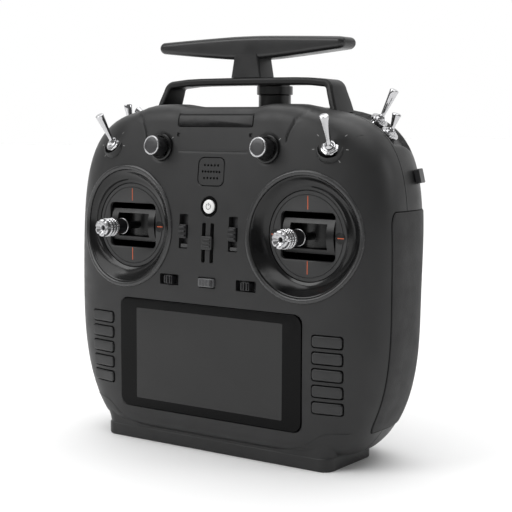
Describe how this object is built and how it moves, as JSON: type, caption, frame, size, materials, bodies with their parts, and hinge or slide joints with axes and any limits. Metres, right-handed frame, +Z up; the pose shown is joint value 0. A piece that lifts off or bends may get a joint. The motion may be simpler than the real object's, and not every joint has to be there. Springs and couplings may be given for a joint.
{
  "type": "handheld radio transmitter controller",
  "caption": "Two-stick handheld radio transmitter with display, soft keys, trims, sliders, dials, toggle switches, carrying handle and swivelling tee antenna.",
  "frame": {"origin": "middle of the foot's underside", "axes": "+Z up, -Y out of the front face with the sticks and display, +X to the right seen from the front"},
  "size_m": [0.1978, 0.0941, 0.2119],
  "materials": {
    "shell": "soft-touch",
    "foot": "matte",
    "grip": "fine texture",
    "handle": "satin",
    "antenna": "satin",
    "cover_glass": "polished",
    "screen": "smooth",
    "board": "satin",
    "ring": "satin",
    "face_plate": "fine texture",
    "mechanism": "satin",
    "stick_end": "machined",
    "keys": "soft-touch",
    "power": "smooth",
    "grey_button": "matte",
    "slider": "matte",
    "dial": "knurled",
    "steel": "plated",
    "chrome": "polished",
    "strip": "polished",
    "cell": "smooth"
  },
  "bodies": {
    "case": {"front_shell": "shell", "rear_shell": "shell", "base_foot": "foot", "side_grips": "grip", "handle": "handle", "antenna_mast": "antenna", "display_glass": "cover_glass", "display_panel": "screen", "main_board": "board", "keypad_membranes": "grip", "gimbal_rings": "ring", "gimbal_faces": "face_plate", "gimbal_frames": "mechanism", "dial_collars": "dial", "dial_pots": "steel", "switch_bodies": "steel", "switch_nuts": "chrome", "speaker_grille": "shell", "speaker": "mechanism", "status_window": "strip", "battery_cells": "cell", "module_cover": "shell", "screws": "steel"},
    "yoke_left": {"yoke_left": "mechanism"},
    "stick_left": {"stick_left": "mechanism", "stick_tip_left": "stick_end"},
    "yoke_right": {"yoke_right": "mechanism"},
    "stick_right": {"stick_right": "mechanism", "stick_tip_right": "stick_end"},
    "key_left_1": {"key_left_1": "keys"},
    "key_left_2": {"key_left_2": "keys"},
    "key_left_3": {"key_left_3": "keys"},
    "key_left_4": {"key_left_4": "keys"},
    "key_left_5": {"key_left_5": "keys"},
    "key_right_1": {"key_right_1": "keys"},
    "key_right_2": {"key_right_2": "keys"},
    "key_right_3": {"key_right_3": "keys"},
    "key_right_4": {"key_right_4": "keys"},
    "key_right_5": {"key_right_5": "keys"},
    "power_button": {"power_button": "power"},
    "menu_button": {"menu_button": "grey_button"},
    "centre_slider": {"centre_slider": "slider"},
    "trim_up_left": {"trim_up_left": "slider"},
    "trim_level_left": {"trim_level_left": "slider"},
    "side_slider_left": {"side_slider_left": "slider"},
    "dial_left": {"dial_left": "dial", "dial_cap_left": "stick_end"},
    "front_lever_left": {"front_lever_left": "chrome"},
    "rear_long_lever_left": {"rear_long_lever_left": "chrome"},
    "rear_short_lever_left": {"rear_short_lever_left": "chrome"},
    "trim_up_right": {"trim_up_right": "slider"},
    "trim_level_right": {"trim_level_right": "slider"},
    "side_slider_right": {"side_slider_right": "slider"},
    "dial_right": {"dial_right": "dial", "dial_cap_right": "stick_end"},
    "front_lever_right": {"front_lever_right": "chrome"},
    "rear_long_lever_right": {"rear_long_lever_right": "chrome"},
    "rear_short_lever_right": {"rear_short_lever_right": "chrome"},
    "antenna": {"antenna": "antenna"},
    "battery_door": {"battery_door": "shell"}
  },
  "joints": [
    {"name": "left_stick_up_down", "type": "hinge", "parent": "case", "child": "yoke_left", "pos_m": [-0.055, -0.0007, 0.1135], "axis": [1, 0, 0], "range_deg": [-25, 25], "stiffness_Nm_per_rad": 0.15},
    {"name": "left_stick_side_to_side", "type": "hinge", "parent": "yoke_left", "child": "stick_left", "pos_m": [-0.055, -0.0007, 0.1135], "axis": [0, 0, 1], "range_deg": [-25, 25], "stiffness_Nm_per_rad": 0.1},
    {"name": "right_stick_up_down", "type": "hinge", "parent": "case", "child": "yoke_right", "pos_m": [0.055, -0.0007, 0.1135], "axis": [1, 0, 0], "range_deg": [-25, 25], "stiffness_Nm_per_rad": 0.15},
    {"name": "right_stick_side_to_side", "type": "hinge", "parent": "yoke_right", "child": "stick_right", "pos_m": [0.055, -0.0007, 0.1135], "axis": [0, 0, 1], "range_deg": [-25, 25], "stiffness_Nm_per_rad": 0.1},
    {"name": "key_left_1_press", "type": "slide", "parent": "case", "child": "key_left_1", "axis": [0.1986, 0.9786, 0.0542], "range_m": [0, 0.0005], "stiffness_N_per_m": 500, "springref_m": -0.0003},
    {"name": "key_left_2_press", "type": "slide", "parent": "case", "child": "key_left_2", "axis": [0.1679, 0.9853, 0.0304], "range_m": [0, 0.0005], "stiffness_N_per_m": 500, "springref_m": -0.0003},
    {"name": "key_left_3_press", "type": "slide", "parent": "case", "child": "key_left_3", "axis": [0.1505, 0.9885, 0.0174], "range_m": [0, 0.0005], "stiffness_N_per_m": 500, "springref_m": -0.0003},
    {"name": "key_left_4_press", "type": "slide", "parent": "case", "child": "key_left_4", "axis": [0.1407, 0.99, 0.0096], "range_m": [0, 0.0005], "stiffness_N_per_m": 500, "springref_m": -0.0003},
    {"name": "key_left_5_press", "type": "slide", "parent": "case", "child": "key_left_5", "axis": [0.1355, 0.9908, 0.0047], "range_m": [0, 0.0005], "stiffness_N_per_m": 500, "springref_m": -0.0003},
    {"name": "key_right_1_press", "type": "slide", "parent": "case", "child": "key_right_1", "axis": [-0.1986, 0.9786, 0.0542], "range_m": [0, 0.0005], "stiffness_N_per_m": 500, "springref_m": -0.0003},
    {"name": "key_right_2_press", "type": "slide", "parent": "case", "child": "key_right_2", "axis": [-0.1679, 0.9853, 0.0304], "range_m": [0, 0.0005], "stiffness_N_per_m": 500, "springref_m": -0.0003},
    {"name": "key_right_3_press", "type": "slide", "parent": "case", "child": "key_right_3", "axis": [-0.1505, 0.9885, 0.0174], "range_m": [0, 0.0005], "stiffness_N_per_m": 500, "springref_m": -0.0003},
    {"name": "key_right_4_press", "type": "slide", "parent": "case", "child": "key_right_4", "axis": [-0.1407, 0.99, 0.0096], "range_m": [0, 0.0005], "stiffness_N_per_m": 500, "springref_m": -0.0003},
    {"name": "key_right_5_press", "type": "slide", "parent": "case", "child": "key_right_5", "axis": [-0.1355, 0.9908, 0.0047], "range_m": [0, 0.0005], "stiffness_N_per_m": 500, "springref_m": -0.0003},
    {"name": "power_press", "type": "slide", "parent": "case", "child": "power_button", "axis": [0, 0.9966, -0.0819], "range_m": [0, 0.0005], "stiffness_N_per_m": 500, "springref_m": -0.0003},
    {"name": "menu_press", "type": "slide", "parent": "case", "child": "menu_button", "axis": [0, 0.9999, -0.0163], "range_m": [0, 0.0005], "stiffness_N_per_m": 500, "springref_m": -0.0003},
    {"name": "centre_slide", "type": "slide", "parent": "case", "child": "centre_slider", "axis": [0, 0.052, 0.9986], "range_m": [-0.0075, 0.0075]},
    {"name": "left_trim_up_slide", "type": "slide", "parent": "case", "child": "trim_up_left", "axis": [0, 0.0606, 0.9982], "range_m": [-0.0025, 0.0025], "stiffness_N_per_m": 150},
    {"name": "left_trim_level_slide", "type": "slide", "parent": "case", "child": "trim_level_left", "axis": [1, -0.0006, 0], "range_m": [-0.0025, 0.0025], "stiffness_N_per_m": 150},
    {"name": "left_side_slide", "type": "slide", "parent": "case", "child": "side_slider_left", "axis": [0.2262, -0.0425, 0.9732], "range_m": [-0.0055, 0.0055]},
    {"name": "left_dial_turn", "type": "hinge", "parent": "case", "child": "dial_left", "pos_m": [-0.033, -0.02012, 0.155], "axis": [-0.0038, -0.9918, 0.1277], "range_deg": [-140, 140]},
    {"name": "left_front_switch", "type": "hinge", "parent": "case", "child": "front_lever_left", "pos_m": [-0.06757, -0.01854, 0.15672], "axis": [0.9781, -0.2079, 0], "range_deg": [0, 50]},
    {"name": "left_rear_long_switch", "type": "hinge", "parent": "case", "child": "rear_long_lever_left", "pos_m": [-0.08226, 0.0138, 0.16351], "axis": [0, 1, 0], "range_deg": [-40, 0]},
    {"name": "left_rear_short_switch", "type": "hinge", "parent": "case", "child": "rear_short_lever_left", "pos_m": [-0.07378, 0.0188, 0.16978], "axis": [0, 1, 0], "range_deg": [0, 34]},
    {"name": "right_trim_up_slide", "type": "slide", "parent": "case", "child": "trim_up_right", "axis": [0, 0.0606, 0.9982], "range_m": [-0.0025, 0.0025], "stiffness_N_per_m": 150},
    {"name": "right_trim_level_slide", "type": "slide", "parent": "case", "child": "trim_level_right", "axis": [1, 0.0006, 0], "range_m": [-0.0025, 0.0025], "stiffness_N_per_m": 150},
    {"name": "right_side_slide", "type": "slide", "parent": "case", "child": "side_slider_right", "axis": [-0.2262, -0.0425, 0.9732], "range_m": [-0.0055, 0.0055]},
    {"name": "right_dial_turn", "type": "hinge", "parent": "case", "child": "dial_right", "pos_m": [0.033, -0.02012, 0.155], "axis": [0.0038, -0.9918, 0.1277], "range_deg": [-140, 140]},
    {"name": "right_front_switch", "type": "hinge", "parent": "case", "child": "front_lever_right", "pos_m": [0.06757, -0.01854, 0.15672], "axis": [0.9781, 0.2079, 0], "range_deg": [0, 50]},
    {"name": "right_rear_long_switch", "type": "hinge", "parent": "case", "child": "rear_long_lever_right", "pos_m": [0.07378, 0.0188, 0.16978], "axis": [0, 1, 0], "range_deg": [0, 34]},
    {"name": "right_rear_short_switch", "type": "hinge", "parent": "case", "child": "rear_short_lever_right", "pos_m": [0.08226, 0.0138, 0.16351], "axis": [0, 1, 0], "range_deg": [0, 40]},
    {"name": "antenna_swivel", "type": "hinge", "parent": "case", "child": "antenna", "pos_m": [0, 0.0142, 0.1906], "axis": [0, 0, 1], "range_deg": [-90, 90]},
    {"name": "battery_door_hinge", "type": "hinge", "parent": "case", "child": "battery_door", "pos_m": [0, 0.047, 0.024], "axis": [-1, 0, 0], "range_deg": [0, 90]}
  ]
}
